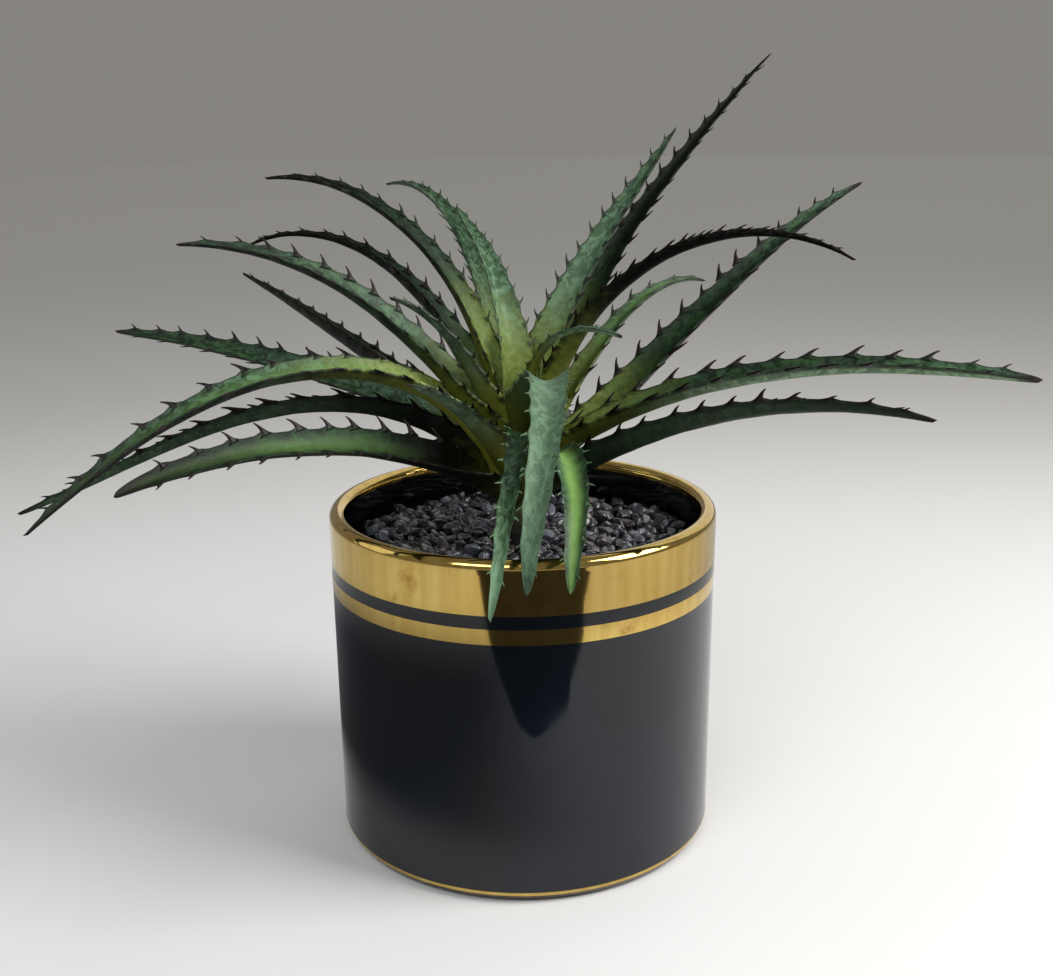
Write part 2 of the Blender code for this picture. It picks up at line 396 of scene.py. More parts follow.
def gravel_material():
    """Glossy dark chips, each its own grey, blue-grey or brown, with mineral specks."""
    n = Nodes("gravel_stone")
    where = n.object_coordinates()
    tone = n.attribute("tone")
    warmth = n.attribute("warmth")
    colour = n.mix(tone, srgb(9, 9, 11), srgb(84, 89, 100))
    colour = n.mix(n.ramp(warmth, 0.72, 0.95), colour, srgb(46, 37, 36))
    vein = n.noise(where, 520.0, 5.0, 0.7, 0.6)
    colour = n.mix(n.ramp(vein, 0.55, 0.75), colour, srgb(120, 122, 130))
    speck = n.ramp(n.noise(where, 2600.0, 1.0), 0.66, 0.72)
    colour = n.mix(speck, colour, srgb(150, 150, 155))
    pits = n.noise(where, 1500.0, 4.0, 0.6)
    n.set(
        Base_Color=colour,
        Roughness=n.between(vein, 0.14, 0.5),
        Normal=n.bump(pits, 0.1 * MM, 0.6),
        Specular_IOR_Level=0.8,
    )
    return n.material


def chip_template(level):
    shape = bmesh.new()
    bmesh.ops.create_icosphere(shape, subdivisions=level, radius=1.0)
    points = np.array([v.co[:] for v in shape.verts])
    corners = np.array([[v.index for v in f.verts] for f in shape.faces])
    shape.free()
    return points, corners


def chip(template, rng, radius):
    """One stone: a ball cut by a few soft facets, squashed and turned."""
    points = template.copy()
    for _ in range(12):
        facing = np.array([rng.gauss(0, 1) for _ in range(3)])
        facing /= np.linalg.norm(facing)
        over = np.maximum(points @ facing - rng.uniform(0.5, 0.82), 0)
        points -= np.outer(over * 0.94, facing)
    points *= np.array([rng.uniform(0.95, 1.25), rng.uniform(0.75, 1.0), rng.uniform(0.6, 0.85)])
    turn = Matrix.Rotation(rng.uniform(0, math.tau), 3, "Z")
    turn = turn @ Matrix.Rotation(rng.gauss(0, 0.45), 3, "X")
    turn = turn @ Matrix.Rotation(rng.gauss(0, 0.45), 3, "Y")
    return points @ np.array(turn).T * radius


def gravel_surface(radius):
    outer = POT_RADIUS - POT_WALL
    edge = min(max((radius - STEM_RADIUS) / (outer - STEM_RADIUS), 0), 1)
    return GRAVEL_TOP + GRAVEL_MOUND * (1 - edge) ** 2


def gravel():
    """A top layer of chips over a coarser lower one, on a dark bed that closes the gaps."""
    finish = gravel_material()
    rng = random.Random(41)
    outer = GRAVEL_HIGH.x
    vertices, faces, tones, warmths = [], [], [], []
    total = 0
    for pitch, size, sink, level in ((4.9, 2.75, 1.8, 3), (5.0, 3.0, 4.5, 2)):
        template, corners = chip_template(level)
        rows = int(outer / (pitch * MM)) + 2
        for row in range(-rows, rows + 1):
            for column in range(-rows, rows + 1):
                x = (column + 0.5 * (row % 2)) * pitch + rng.uniform(-0.85, 0.85)
                y = row * pitch * 0.88 + rng.uniform(-0.85, 0.85)
                radius = size * rng.uniform(0.78, 1.12) * MM
                lift = rng.uniform(-0.9, 0.7)
                away = math.hypot(x, y) * MM
                if away > outer - radius * 0.98 or away < STEM_RADIUS + radius * 0.55:
                    continue
                points = chip(template, rng, radius)
                height = gravel_surface(away) - sink * MM + lift * MM
                points += np.array([x * MM, y * MM, height])
                vertices.append(points)
                faces.append(corners + total)
                total += len(points)
                tones.append(np.full(len(points), rng.random() ** 1.7))
                warmths.append(np.full(len(points), rng.random()))
    stones = add_mesh(
        "gravel_stones",
        np.concatenate(vertices),
        np.concatenate(faces),
        finish,
        {"tone": np.concatenate(tones), "warmth": np.concatenate(warmths)},
    )
    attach(stones, "root")
    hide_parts("gravel")
    bed_top = GRAVEL_TOP - 4.0 * MM
    inner = STEM_RADIUS + 0.3 * MM
    profile = [(inner, bed_top)]
    for i in range(1, 25):
        radius = lerp(inner, outer, i / 24)
        ripple = noise.noise(Vector((radius * 400, 0.3, 0.7))) * 0.5 * MM
        profile.append((radius, bed_top + ripple))
    profile += [(outer, GRAVEL_LOW.z), (inner, GRAVEL_LOW.z)]
    bed = lathe("gravel_bed", profile, finish, 96, closed=True)
    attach(bed, "root")


def stem_material():
    n = Nodes("stem")
    where = n.object_coordinates()
    x, y, z = n.separate(where)
    fibre = n.noise(n.vector(x, y, n.math("MULTIPLY", z, 0.15)), 900.0, 4.0)
    # Painted shade: the stem is near-black brown down at the gravel, under the leaves, and olive
    # higher up.
    height = n.ramp(z, GRAVEL_TOP, GRAVEL_TOP + 22 * MM)
    colour = n.mix(height, srgb(26, 20, 15), srgb(104, 116, 52))
    colour = n.mix(n.ramp(fibre, 0.5, 0.75), colour, srgb(18, 15, 10))
    n.set(
        Base_Color=colour,
        Roughness=n.between(fibre, 0.5, 0.8),
        Normal=n.bump(fibre, 0.25 * MM),
    )
    return n.material


def stem():
    """The short crown stem, ringed by old leaf scars."""
    profile = [(0, STEM_HIGH.z)]
    top = STEM_HIGH.z - STEM_TOP_RADIUS
    profile += arc((0, top), STEM_TOP_RADIUS, 80, 10, 6)
    for i in range(STEM_RINGS + 1):
        z = lerp(top, GRAVEL_TOP - 2 * MM, i / STEM_RINGS)
        scar = SCAR_DEPTH * (0.5 + 0.5 * math.cos((z - GRAVEL_TOP) / SCAR_PITCH * math.tau))
        profile.append((stem_radius(z - GRAVEL_TOP) - scar, z))
    profile += [(STEM_RADIUS, STEM_LOW.z + 1 * MM), (STEM_RADIUS - 1 * MM, STEM_LOW.z)]
    profile.append((0, STEM_LOW.z))
    core = lathe("stem_core", profile, stem_material(), 64)
    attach(core, "root")
    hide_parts("stem")


# ---------------------------------------------------------------- leaves
# The design's placing of each leaf: azimuth, turn, height above the gravel, length, width and
# the rise at base, middle and tip; in degrees and millimetres.
Leaf = namedtuple("Leaf", "azimuth turn height length width rise look")
# How a leaf looks: fullness of its width, power of its taper, roll about its own line towards
# its left in degrees, darkness of painted shade and sage mottling at the base, middle and tip,
# then shares of lime at the base and pale centre streak, length of its teeth, their pitch in
# millimetres, their darkness, and paleness of the underside, which lifts painted shade off it.
Look = namedtuple("Look", "full taper roll dark sage lime streak spine pitch husk under")
LEAVES = {
    "leaf_left_01": Leaf(
        110, 18, 36.3, 120, 9.0, (62, 42, -10),
        Look(1.1, 0.8, 8, (0.0, 0.25, 0.35), (0.6, 0.6, 0.5), 0.75, 0.0, 0.6, 5.6, 0.8, 0.1),
    ),
    "leaf_left_02": Leaf(
        113, 0, 42, 79, 8.5, (98, 44, 25),
        Look(1.25, 0.75, 0, (0.0, 0.1, 0.2), (0.6, 0.7, 0.6), 0.85, 0.0, 0.55, 6.2, 0.6, 0.2),
    ),
    "leaf_left_03": Leaf(
        164, 9, 38, 112, 10.0, (78, 48, -6),
        Look(0.95, 0.75, 20, (0.0, 0.75, 1.0), (0.7, 0.5, 0.1), 0.75, 0.0, 0.65, 6.6, 0.9, 0.0),
    ),
    "leaf_left_04": Leaf(
        156, 20, 33.1, 109, 10.0, (60, 42, -25),
        Look(1.3, 1.05, 4, (0.0, 0.85, 1.0), (0.9, 0.5, 0.0), 0.5, 0.0, 0.75, 6.8, 1.0, 0.0),
    ),
    "leaf_left_05": Leaf(
        207, 3, 34.5, 58, 6.0, (58, 55, 17),
        Look(1.7, 0.85, 10, (0.0, 0.1, 0.6), (0.0, 0.2, 0.0), 1.0, 0.4, 0.65, 7.0, 0.9, 0.4),
    ),
    "leaf_left_06": Leaf(
        196, -7, 30.3, 117, 11.0, (54, 38, -3),
        Look(1.1, 0.7, 24, (0.0, 0.3, 0.65), (0.6, 0.55, 0.4), 0.6, 0.0, 0.85, 8.2, 1.0, 0.0),
    ),
    "leaf_left_07": Leaf(
        132, 0, 22.5, 160, 9.0, (20, 17, 13),
        Look(1.7, 0.7, -22, (1.0, 0.92, 0.75), (0.0, 0.1, 0.3), 0.0, 0.0, 0.85, 9.0, 1.0, 0.0),
    ),
    "leaf_left_08": Leaf(
        153, 8, 27.8, 150, 9.5, (18, 11, 3),
        Look(1.15, 0.5, 34, (0.1, 0.3, 0.55), (0.8, 0.35, 0.25), 0.25, 0.0, 0.85, 9.5, 1.0, 0.0),
    ),
    "leaf_left_09": Leaf(
        204, 12, 20.8, 165, 10.5, (70, -5, -36),
        Look(1.25, 0.7, 14, (0.0, 0.25, 0.75), (0.1, 0.6, 0.4), 1.0, 0.3, 0.9, 10.5, 1.0, 0.0),
    ),
    "leaf_left_10": Leaf(
        188, -9, 16.5, 163, 10.0, (61, -12, -21),
        Look(1.15, 0.6, -16, (1.4, 0.85, 0.25), (0.0, 0.3, 0.6), 0.0, 0.0, 1.0, 10.5, 1.0, 0.3),
    ),
    "leaf_left_11": Leaf(
        223, 0, 14.5, 134, 9.5, (35, 11, -13),
        Look(1.25, 0.42, 38, (1.7, 0.35, 0.85), (0.0, 0.1, 0.0), 0.0, 0.45, 0.95, 10.0, 1.0, 0.0),
    ),
    "leaf_left_12": Leaf(
        241, -1, 23, 66, 6.5, (44, 34, 18),
        Look(2.0, 0.85, 16, (0.0, 0.0, 0.4), (0.0, 0.1, 0.0), 1.0, 0.5, 0.7, 7.5, 0.9, 0.5),
    ),
    "leaf_front_01": Leaf(
        270, -10, 30, 105, 6.0, (34, -16, -42),
        Look(1.15, 0.42, 0, (0.45, 0.7, 0.1), (0.4, 0.3, 1.0), 0.0, 0.0, 0.5, 10.0, 0.1, 0.4),
    ),
    "leaf_front_02": Leaf(
        285, -34, 37, 126, 11.5, (44, -8, -80),
        Look(1.12, 0.44, 0, (0.0, 0.32, 0.3), (0.85, 0.92, 0.9), 0.2, 0.0, 0.5, 9.5, 0.4, 0.6),
    ),
    "leaf_front_03": Leaf(
        294, -36, 18.5, 92, 8.5, (46, -5, -66),
        Look(1.3, 0.42, 0, (0.0, 0.0, 0.0), (0.2, 0.1, 0.3), 0.3, 1.0, 0.5, 9.0, 0.1, 0.5),
    ),
    "leaf_right_01": Leaf(
        44, 0, 32, 165, 9.0, (65, 42, 34),
        Look(1.05, 0.85, -16, (0.2, 0.95, 1.0), (0.7, 0.25, 0.0), 0.45, 0.0, 0.7, 8.5, 1.0, 0.0),
    ),
    "leaf_right_02": Leaf(
        34, -3, 41.5, 98, 9.0, (78, 53, 50),
        Look(1.45, 0.8, -18, (0.0, 0.15, 0.4), (0.6, 0.8, 0.4), 0.7, 0.0, 0.7, 6.2, 0.95, 0.2),
    ),
    "leaf_right_03": Leaf(
        344, -2, 33.1, 125, 9.5, (80, 33, -30),
        Look(1.3, 1.0, 0, (0.0, 1.0, 1.0), (0.0, 0.0, 0.0), 0.6, 0.0, 0.8, 5.6, 1.0, 0.0),
    ),
    "leaf_right_04": Leaf(
        28, 10, 21, 160, 10.5, (30, 35, 15),
        Look(1.12, 0.6, -14, (0.2, 0.72, 0.5), (0.0, 0.1, 0.55), 0.5, 0.0, 0.95, 9.5, 1.0, 0.0),
    ),
    "leaf_right_05": Leaf(
        36, -2, 28.5, 87, 7.0, (44, 42, -16),
        Look(1.15, 0.65, -14, (0.0, 0.0, 0.1), (0.0, 0.1, 0.1), 1.0, 0.3, 0.7, 8.5, 0.9, 0.6),
    ),
    "leaf_right_06": Leaf(
        299, 1, 46.5, 60, 6.0, (72, 21, -5),
        Look(0.5, 0.45, -4, (0.0, 0.0, 0.2), (0.3, 0.9, 0.7), 0.9, 0.0, 0.45, 8.0, 0.9, 0.8),
    ),
    "leaf_right_07": Leaf(
        341, 1, 24, 150, 11.0, (40, 11, -6),
        Look(1.05, 0.42, -10, (0.05, 0.55, 0.4), (0.1, 0.2, 0.45), 0.55, 0.0, 1.05, 10.5, 1.0, 0.9),
    ),
    "leaf_right_08": Leaf(
        325, 0, 16, 129, 9.5, (34, 18, -7),
        Look(1.15, 0.5, 20, (0.7, 0.65, 0.95), (0.3, 0.25, 0.1), 0.0, 0.0, 0.95, 9.2, 1.0, 0.2),
    ),
    "leaf_right_09": Leaf(
        73, -3, 39, 80, 5.5, (29, 27, -13),
        Look(1.1, 0.7, -6, (0.1, 0.3, 0.5), (0.5, 0.4, 0.3), 0.5, 0.1, 0.6, 8.0, 0.9, 0.2),
    ),
    "leaf_rear_01": Leaf(
        92, 0, 13.5, 92, 9.0, (18, 0, -40),
        Look(1.1, 0.55, 0, (0.1, 0.2, 0.4), (0.3, 0.5, 0.5), 0.5, 0.1, 0.9, 10.0, 1.0, 0.2),
    ),
    "leaf_rear_02": Leaf(
        105, 0, 17.5, 80, 7.0, (26, 0, -45),
        Look(1.15, 0.6, 0, (0.0, 0.1, 0.4), (0.3, 0.6, 0.5), 0.6, 0.1, 0.8, 9.5, 1.0, 0.3),
    ),
    "leaf_rear_03": Leaf(
        77, 0, 18.5, 80, 7.0, (28, 0, -45),
        Look(1.15, 0.6, 0, (0.0, 0.2, 0.4), (0.3, 0.5, 0.4), 0.6, 0.1, 0.8, 9.5, 1.0, 0.3),
    ),
}

LEAF_STEP = 1.0 * MM
LEAF_ACROSS = 14
LEAF_ROOTED = 2.5 * MM
LEAF_SHEATH = 0.3
LEAF_SHEATH_REACH = 14 * MM
LEAF_CHANNEL_SHARE = 0.25
LEAF_CLASP = 0.16
LEAF_EDGE = 0.75 * MM
LEAF_UNDULATION = 0.2 * MM
LEAF_WANDER = 0.8 * MM
LEAF_UNDER_INSET = 0.98
LEAF_TIP_REACH = 0.4 * MM
TOOTH_FIRST = 9.0 * MM
TOOTH_LENGTH = 4.6 * MM
TOOTH_SHAFT = 0.92 * MM
TOOTH_FOOT = 1.6 * MM
TOOTH_THICK = 0.62 * MM
TOOTH_SINK = 0.9 * MM
TOOTH_RISE = 0.62
TOOTH_LEAN_DEGREES = 16
TOOTH_RINGS = 9
TOOTH_SIDES = 10
SWELL_REACH = 0.9 * MM
SWELL_HALF = 3.2 * MM


def stem_radius(height):
    share = (height - STEM_STRAIGHT) / (STEM_RISE - STEM_STRAIGHT)
    return lerp(STEM_RADIUS, STEM_TOP_RADIUS, min(max(share, 0), 1))


def leaf_rise(leaf, share):
    base, middle, tip = leaf.rise
    early = base * (1 - share) * (1 - 2 * share)
    late = tip * share * (2 * share - 1)
    return math.radians(early + middle * 4 * share * (1 - share) + late)


def leaf_directions(leaf, share):
    """Along the leaf, to its left, and out of its upper face, before it is rolled."""
    rise = leaf_rise(leaf, share)
    swing = math.radians(leaf.azimuth + leaf.turn * share)
    ahead = Vector((math.cos(swing), math.sin(swing), 0))
    along = ahead * math.cos(rise) + Vector((0, 0, math.sin(rise)))
    left = Vector((-math.sin(swing), math.cos(swing), 0))
    return along, left, along.cross(left)


def leaf_base(leaf):
    height = leaf.height * MM
    steep = math.sin(math.radians(min(leaf.rise[0], 90)))
    depth = LEAF_LEAST_THICKNESS + LEAF_THICKNESS_SHARE * leaf.width * MM * LEAF_BASE_SHARE
    out = stem_radius(height) + LEAF_CLEARANCE + depth * steep
    azimuth = math.radians(leaf.azimuth)
    return Vector((out * math.cos(azimuth), out * math.sin(azimuth), GRAVEL_TOP + height))


def leaf_width(leaf, share):
    """Broadest where it sheathes the stem, then an even taper that closes near the tip."""
    sheath = LEAF_SHEATH * math.exp(-share * leaf.length * MM / LEAF_SHEATH_REACH)
    taper = max(1 - share, 0) ** leaf.look.taper
    return leaf.width * MM * leaf.look.full * (1 + sheath) * taper


def leaf_brim(leaf, share):
    """Height of the margins over the channel, deeper where the leaf clasps the stem."""
    clasp = LEAF_CLASP * math.exp(-share * leaf.length * MM / LEAF_SHEATH_REACH)
    return (LEAF_CHANNEL_SHARE + clasp) * leaf_width(leaf, share)


def leaf_teeth(leaf, rng):
    """Where each margin's teeth stand, as (distance along, side, size)."""
    length = leaf.length * MM
    pitch = leaf.look.pitch * MM
    count = round((length - TOOTH_FIRST) / pitch)
    made = []
    for side in (1, -1):
        shift = 0.25 * side + rng.uniform(-0.08, 0.08)
        for i in range(count):
            place = TOOTH_FIRST + (i + 0.35 + shift + rng.uniform(-0.13, 0.13)) * pitch
            share = place / length
            if share > 0.96:
                continue
            size = rng.uniform(0.85, 1.1) * lerp(1, 0.6, smooth_step((share - 0.6) / 0.4))
            size *= lerp(0.85, 1, smooth_step(share / 0.25)) * leaf.look.spine
            made.append((place, side, size))
    return made


def edge_swell(teeth, side, place):
    """How far the margin stands out at this place, from the feet of the teeth near it."""
    most = 0.0
    for where, tooth_side, size in teeth:
        if tooth_side == side:
            away = (place - where) / SWELL_HALF
            if abs(away) < 1:
                most = max(most, size * (1 - away * away) ** 2)
    return most


class LeafLine:
    """The leaf's midline, integrated once and then read at any distance along it."""

    def __init__(self, leaf):
        self.leaf = leaf
        self.length = leaf.length * MM
        count = int(self.length / (LEAF_STEP / 2))
        place = leaf_base(leaf)
        self.step = self.length / count
        self.places = [place.copy()]
        for i in range(count):
            along = leaf_directions(leaf, (i + 0.5) / count)[0]
            place = place + along * self.step
            self.places.append(place.copy())

    def at(self, distance):
        """Place, along, left and up, rolled, at a distance from the base."""
        share = min(max(distance / self.length, 0), 1)
        along, left, up = leaf_directions(self.leaf, share)
        if distance < 0:
            place = self.places[0] + along * distance
        else:
            spot = min(distance / self.step, len(self.places) - 1.001)
            i = int(spot)
            place = self.places[i].lerp(self.places[i + 1], spot - i)
        roll = math.radians(self.leaf.look.roll) * smooth_step(share / 0.25)
        left, up = (
            left * math.cos(roll) - up * math.sin(roll),
            up * math.cos(roll) + left * math.sin(roll),
        )
        return place, along, left, up


def leaf_section(leaf, share, swells):
    """(across, side, offset to the left, offset up) for each point round the leaf."""
    width = leaf_width(leaf, share)
    depth = LEAF_LEAST_THICKNESS * 1.4 + 0.2 * width
    brim = leaf_brim(leaf, share)
    edge = LEAF_EDGE * min(1, width / (4 * MM) + 0.15)
    made = []
    for upper in (True, False):
        for i in range(LEAF_ACROSS + 1):
            u = math.cos(math.pi * i / LEAF_ACROSS)
            if not upper:
                u = -u
            swell = swells[0] if u > 0 else swells[1]
            reach = SWELL_REACH * swell * abs(u) ** 6
            flank = brim * abs(u) ** 1.8
            if upper:
                rise = flank
            else:
                rise = -depth + (depth + brim - edge) * abs(u) ** 2.6
                if abs(u) > 0.999:
                    continue
            inset = 1.0 if upper else LEAF_UNDER_INSET
            side = u * width / 2 * inset + math.copysign(reach, u)
            made.append((u, 1.0 if upper else 0.0, side, rise + reach * 0.6))
    return made


def leaf_mesh(name, leaf):
    rng = random.Random(name)
    seed = rng.uniform(0, 90)
    line = LeafLine(leaf)
    teeth = leaf_teeth(leaf, rng)
    vertices, faces = [], []
    layers = {"along": [], "across": [], "upper": [], "horn": []}
    count = int((line.length + LEAF_ROOTED) / LEAF_STEP)
    rings = []
    for i in range(count):
        distance = lerp(-LEAF_ROOTED, line.length * 0.995, i / (count - 1))
        share = max(distance / line.length, 0)
        place, along, left, up = line.at(distance)
        wander = noise.noise(Vector((distance * 35, seed, 0))) * LEAF_WANDER
        wander *= smooth_step(share * 3)
        place = place + left * wander
        swells = [edge_swell(teeth, side, distance) for side in (1, -1)]
        ring = []
        for u, upper, side, rise in leaf_section(leaf, share, swells):
            relief = noise.noise(Vector((distance * 110, u * 1.3, seed + upper)))
            relief += 0.45 * noise.noise(Vector((distance * 330, u * 3.1, seed + 7 + upper)))
            relief *= LEAF_UNDULATION * (1 - share * 0.6) * (1 - abs(u) ** 3)
            ring.append(len(vertices))
            vertices.append(place + left * side + up * (rise + relief))
            swell = swells[0] if u > 0 else swells[1]
            layers["along"].append(share)
            layers["across"].append(u)
            layers["upper"].append(upper)
            layers["horn"].append(swell * abs(u) ** 5 * 0.55)
        rings.append(ring)
    for first, second in zip(rings, rings[1:]):
        size = len(first)
        for i in range(size):
            j = (i + 1) % size
            faces.append((first[i], first[j], second[j], second[i]))
    faces.append(rings[0][::-1])
    tip_place, tip_along, _, _ = line.at(line.length)
    vertices.append(tip_place + tip_along * LEAF_TIP_REACH)
    for key, value in (("along", 1), ("across", 0), ("upper", 1), ("horn", 0)):
        layers[key].append(value)
    tip = len(vertices) - 1
    last = rings[-1]
    for i in range(len(last)):
        faces.append((last[i], last[(i + 1) % len(last)], tip))
    for tooth in teeth:
        add_tooth(leaf, line, tooth, rng, vertices, faces, layers)
    return vertices, faces, layers


def add_tooth(leaf, line, tooth, rng, vertices, faces, layers):
    """A flat-sided horn that leaves the margin and curves towards the leaf's tip."""
    distance, side, size = tooth
    share = distance / line.length
    width = leaf_width(leaf, share)
    place, along, left, up = line.at(distance)
    outward = (left * side + up * TOOTH_RISE * rng.uniform(0.7, 1.3)).normalized()
    flat = along.cross(outward).normalized()
    brim = leaf_brim(leaf, share)
    root = place + left * side * (width / 2) + up * (brim - LEAF_EDGE * 0.4)
    root = root + outward * (SWELL_REACH * size * 0.8 - TOOTH_SINK)
    reach = TOOTH_LENGTH * size * rng.uniform(0.92, 1.08) + TOOTH_SINK
    curl = math.radians(rng.uniform(38, 56))
    spot = root - along * 0.6 * MM * size
    rings = []
    for i in range(TOOTH_RINGS):
        t = i / (TOOTH_RINGS - 1)
        lean = math.radians(TOOTH_LEAN_DEGREES) + curl * t
        heading = outward * math.cos(lean) + along * math.sin(lean)
        if i:
            spot = spot + heading * reach / (TOOTH_RINGS - 1)
        across = along * math.cos(lean) - outward * math.sin(lean)
        half_along = (TOOTH_SHAFT * (1 - 0.8 * t) + TOOTH_FOOT * (1 - t) ** 5) * size
        half_thick = TOOTH_THICK * size * (1 - 0.75 * t)
        ring = []
        for k in range(TOOTH_SIDES):
            angle = math.tau * k / TOOTH_SIDES
            offset = across * half_along * math.cos(angle) + flat * half_thick * math.sin(angle)
            ring.append(len(vertices))
            vertices.append(spot + offset)
            layers["along"].append(share)
            layers["across"].append(float(side))
            layers["upper"].append(1.0)
            layers["horn"].append(smooth_step(0.35 + t * 1.3))
        rings.append(ring)
    for first, second in zip(rings, rings[1:]):
        for k in range(TOOTH_SIDES):
            j = (k + 1) % TOOTH_SIDES
            faces.append((first[k], first[j], second[j], second[k]))
    faces.append(rings[0][::-1])
    faces.append(rings[-1])


def along_the_leaf(n, along, values):
    """A number that runs from its base value through its middle one to its tip value."""
    base, middle, tip = values
    outward = n.between(n.ramp(along, 0.0, 0.5), base, middle)
    return n.math("ADD", outward, n.between(n.ramp(along, 0.5, 0.95), 0.0, tip - middle))


def leaf_material(name, leaf):
    """Mottled green skin: lime at the base, sage flecks, dark margins, teeth and tip, with painted
    shade that darkens stretches of some leaves and the underside near the base.
    """
    n = Nodes(name + "_skin")
    look = leaf.look
    along = n.attribute("along")
    across = n.attribute("across")
    upper = n.attribute("upper")
    horn = n.attribute("horn")
    edge = n.math("ABSOLUTE", across)
    seed = random.Random(name + "colour").uniform(0, 50)
    run = n.math("MULTIPLY", along, leaf.length)
    skin = n.vector(n.math("MULTIPLY", run, 0.30), n.math("MULTIPLY", across, 1.7), seed)
    where = n.object_coordinates()
    broad = n.noise(skin, 0.5, 3.0, 0.6, 0.4)
    patch = n.noise(skin, 1.1, 4.0, 0.62, 0.8)
    fleck = n.noise(where, 620.0, 3.0, 0.6)

    sage = along_the_leaf(n, along, look.sage)
    green = n.mix(n.ramp(broad, 0.35, 0.65), srgb(20, 50, 26), srgb(52, 94, 46))
    pale = n.math("MULTIPLY", n.math("MULTIPLY", sage, sage), 0.6)
    green = n.mix(pale, green, srgb(88, 122, 92))
    shade = n.math("MULTIPLY", n.ramp(patch, 0.55, 0.38), n.math("SUBTRACT", 0.7, pale))
    green = n.mix(shade, green, srgb(12, 34, 18))
    sage_mask = n.math("MULTIPLY", n.ramp(patch, 0.42, 0.66), sage)
    even = n.math("MULTIPLY", n.math("POWER", sage, 6.0), 0.65)
    sage_mask = n.math("ADD", sage_mask, even)
    green = n.mix(sage_mask, green, srgb(120, 156, 124))
    streak = n.math("MULTIPLY", n.ramp(edge, 0.85, 0.1), look.streak)
    green = n.mix(n.math("MULTIPLY", streak, n.between(broad, 0.4, 1.0)), green, srgb(138, 184, 92))
    green = n.mix(n.math("MULTIPLY", n.ramp(fleck, 0.62, 0.75), 0.28), green, srgb(140, 174, 142))

    # Painted shade: the underside is dark green, darkest near the base, and pales along the leaf by
    # the look's under share.
    below = n.mix(n.ramp(broad, 0.3, 0.7), srgb(14, 24, 14), srgb(36, 62, 36))
    below_pale = n.mix(n.ramp(patch, 0.4, 0.62), srgb(76, 104, 74), srgb(128, 156, 124))
    below = n.mix(n.math("MULTIPLY", n.ramp(along, 0.12, 0.5), look.under), below, below_pale)
    below = n.mix(n.math("MULTIPLY", n.ramp(fleck, 0.6, 0.75), 0.2), below, srgb(80, 104, 82))
    colour = n.mix(upper, below, green)

    # Painted shade: stretches of a leaf turn near-black, by the look's darkness at base, middle and
    # tip, less so on a pale underside.
    painted_shade = along_the_leaf(n, along, look.dark)
    painted_shade = n.math("MULTIPLY", painted_shade, n.between(upper, 1.0 - look.under, 1.0))
    colour = n.mix(painted_shade, colour, srgb(5, 7, 5))
    reach = n.math("ADD", along, n.between(patch, -0.12, 0.12))
    lime = n.math("MULTIPLY", n.ramp(reach, 0.16 + 0.42 * look.lime, 0.0), 0.3 + 0.68 * look.lime)
    lime_tone = n.mix(n.ramp(fleck, 0.35, 0.7), srgb(142, 160, 68), srgb(178, 192, 108))
    lime_tone = n.mix(upper, srgb(122, 126, 44), lime_tone)
    colour = n.mix(lime, colour, lime_tone)

    rim = n.math("MULTIPLY", n.ramp(edge, 0.86, 0.985), n.ramp(patch, 0.35, 0.55))
    colour = n.mix(n.math("MULTIPLY", rim, 0.2 + 0.65 * look.husk), colour, srgb(16, 20, 13))
    tip = n.math("MULTIPLY", n.ramp(along, 0.93, 0.995), 0.1 + 0.9 * look.husk)
    colour = n.mix(tip, colour, srgb(26, 20, 17))
    husk_tone = n.mix(n.ramp(fleck, 0.4, 0.65), srgb(8, 7, 6), srgb(34, 21, 16))
    horn_tone = n.mix(look.husk, srgb(98, 128, 92), husk_tone)
    colour = n.mix(n.ramp(horn, 0.3, 0.62), colour, horn_tone)

    ribs = n.vector(n.math("MULTIPLY", run, 0.35), n.math("MULTIPLY", across, 9.0), seed)
    relief = n.bump(n.noise(ribs, 3.0, 3.0), 0.10 * MM, 0.8)
    relief = n.bump(fleck, 0.09 * MM, 0.8, relief)
    n.set(
        Base_Color=colour,
        Roughness=n.between(n.ramp(patch, 0.3, 0.7), 0.38, 0.56),
        Normal=relief,
        Specular_IOR_Level=0.36 - 0.3 * look.dark[1],
    )
    return n.material


def leaves():
    for name, leaf in LEAVES.items():
        vertices, faces, layers = leaf_mesh(name, leaf)
        made = add_mesh(name + "_blade", vertices, faces, leaf_material(name, leaf), layers)
        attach(made, "root")
        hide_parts(name)


# ---------------------------------------------------------------- stage
def floor_material():
    """Pale paper, painted greyest at about 0.8 m from the pot as shade, and paler again far out."""
    n = Nodes("floor_paper")
    where = n.object_coordinates()
    away = n.length(where)
    # Painted shade: the paper greys out to about 0.8 m from the pot, then pales again towards the
    # far edge.
    colour = n.mix(n.ramp(away, 0.25, 0.8), srgb(230, 231, 232), srgb(206, 205, 203))
    colour = n.mix(n.ramp(away, 0.7, 3.0), colour, srgb(222, 221, 217))
    mottle = n.noise(where, 9.0, 4.0)
    colour = n.mix(n.between(mottle, 0.0, 0.08), colour, srgb(200, 200, 198))
    n.set(Base_Color=colour, Roughness=0.9, Normal=n.bump(mottle, 0.4 * MM, 0.3))
    return n.material


def floor():
    shape = bmesh.new()
    bmesh.ops.create_circle(shape, cap_ends=True, segments=96, radius=6.0)
    mesh = bpy.data.meshes.new("floor")
    shape.to_mesh(mesh)
    shape.free()
    mesh.materials.append(floor_material())
    made = bpy.data.objects.new("floor", mesh)
    made.location.z = -0.3 * MM
    bpy.context.scene.collection.objects.link(made)


def dark_card(name, corners, level, tone):
    """A matt flag just over the floor, seen only in reflections."""
    n = Nodes(name + "_cloth")
    n.set(Base_Color=tone, Roughness=0.95)
    card = add_mesh(name, [(x, y, level) for x, y in corners], [range(len(corners))], n.material)
    card.visible_camera = False
    card.visible_diffuse = False
    card.visible_shadow = False
    return n


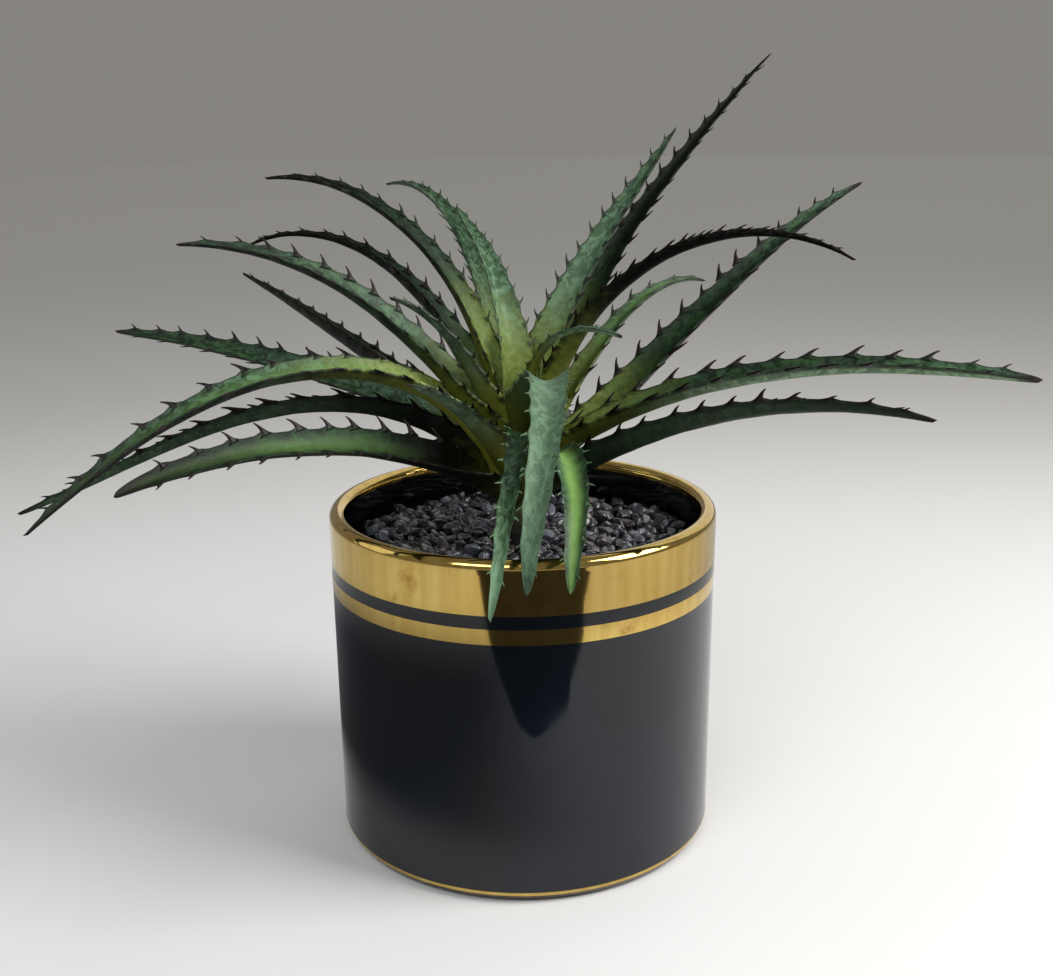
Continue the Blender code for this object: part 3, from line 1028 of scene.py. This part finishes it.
def fade_card(n, inner, outer, side, strength):
    """Lets a flag fade out inside and outside a ring round the pot, and away from its side."""
    where = n.object_coordinates()
    away = n.length(where)
    ring = n.math("MULTIPLY", n.ramp(away, outer, outer * 0.66), n.ramp(away, inner, inner + 0.04))
    sideways = n.ramp(n.math("MULTIPLY", n.separate(where)[0], side), -0.09, 0.10)
    n.set(Alpha=n.math("MULTIPLY", n.math("MULTIPLY", ring, sideways), strength))


def dark_cards():
    """A dark flag in front of the pot, a grey one to its left and a faint one to its right."""
    front = [(0.026, -0.164), (0.012, -0.161), (-0.006, -0.170)]
    front += [(-0.030, -0.196), (-0.058, -0.222), (-0.094, -0.262), (-0.14, -0.32)]
    front += [(-0.30, -0.62), (0.40, -0.58), (0.232, -0.345), (0.205, -0.325)]
    front += [(0.196, -0.275), (0.150, -0.25)]
    front += [(0.128, -0.218), (0.082, -0.192), (0.066, -0.172), (0.040, -0.168)]
    dark_card("dark_card_front", front, 1.0 * MM, srgb(18, 17, 17))
    left = [(-0.31, -0.31), (0.10, -0.31), (0.10, 0.31), (-0.31, 0.31)]
    cloth = dark_card("dark_card_left", left, 0.5 * MM, srgb(96, 98, 102))
    fade_card(cloth, 0.07, 0.30, -1, 1.0)
    right = [(-0.10, -0.90), (0.90, -0.90), (0.90, 0.60), (-0.10, 0.60)]
    cloth = dark_card("dark_card_right", right, 0.7 * MM, srgb(110, 100, 86))
    fade_card(cloth, 0.24, 0.85, 1, 0.42)


def area_light(name, place, aim, size, power, colour):
    data = bpy.data.lights.new(name, "AREA")
    data.shape = "RECTANGLE"
    data.size, data.size_y = size
    data.energy = power
    data.color = colour
    made = bpy.data.objects.new(name, data)
    made.location = place
    made.rotation_euler = (Vector(aim) - Vector(place)).to_track_quat("-Z", "Y").to_euler()
    bpy.context.scene.collection.objects.link(made)


def lights():
    centre = (0, 0, 0.09)
    area_light("key_right", (0.70, -0.20, 0.66), centre, (0.55, 0.55), 9.5, (1.0, 0.98, 0.95))
    area_light("front_fill", (-0.35, -0.75, 0.85), centre, (0.6, 0.4), 4.2, (0.95, 0.98, 1.0))
    area_light("left_fill", (-0.95, 0.1, 0.5), centre, (0.5, 0.7), 1.0, (0.95, 0.98, 1.0))
    glow = bpy.data.lights.new("rear_glow", "SUN")
    glow.energy = 0.5
    glow.angle = math.radians(60)
    rear = bpy.data.objects.new("rear_glow", glow)
    rear.rotation_euler = Vector((-0.35, -0.8, -0.5)).to_track_quat("-Z", "Y").to_euler()
    bpy.context.scene.collection.objects.link(rear)
    world = bpy.data.worlds.new("studio")
    world.use_nodes = True
    background = world.node_tree.nodes["Background"]
    background.inputs["Color"].default_value = srgb(176, 173, 168)
    background.inputs["Strength"].default_value = 0.55
    bpy.context.scene.world = world


def camera():
    """Nearly as high as the tallest leaf, in front of the pot and looking down on it."""
    data = bpy.data.cameras.new("camera")
    data.sensor_fit = "HORIZONTAL"
    data.sensor_width = 36.0
    data.lens = 46.4
    data.clip_start = 0.01
    made = bpy.data.objects.new("camera", data)
    pitch, yaw, roll = 0.2738, 0.0032, -0.0101
    level = math.cos(pitch)
    ahead = Vector((math.sin(yaw) * level, math.cos(yaw) * level, -math.sin(pitch)))
    right = Vector((math.cos(yaw), -math.sin(yaw), 0))
    up = right.cross(ahead)
    right, up = (
        right * math.cos(roll) + up * math.sin(roll),
        up * math.cos(roll) - right * math.sin(roll),
    )
    turn = Matrix((right, up, -ahead)).transposed().to_4x4()
    made.matrix_world = Matrix.Translation((0, -0.4075, 0.2236)) @ turn
    bpy.context.scene.collection.objects.link(made)
    bpy.context.scene.camera = made


pot()
gravel()
stem()
leaves()
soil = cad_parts["soil"]
for part_slot in soil.material_slots:
    part_slot.material = soil_material()
floor()
dark_cards()
lights()
camera()
bpy.context.scene.view_settings.view_transform = "Standard"
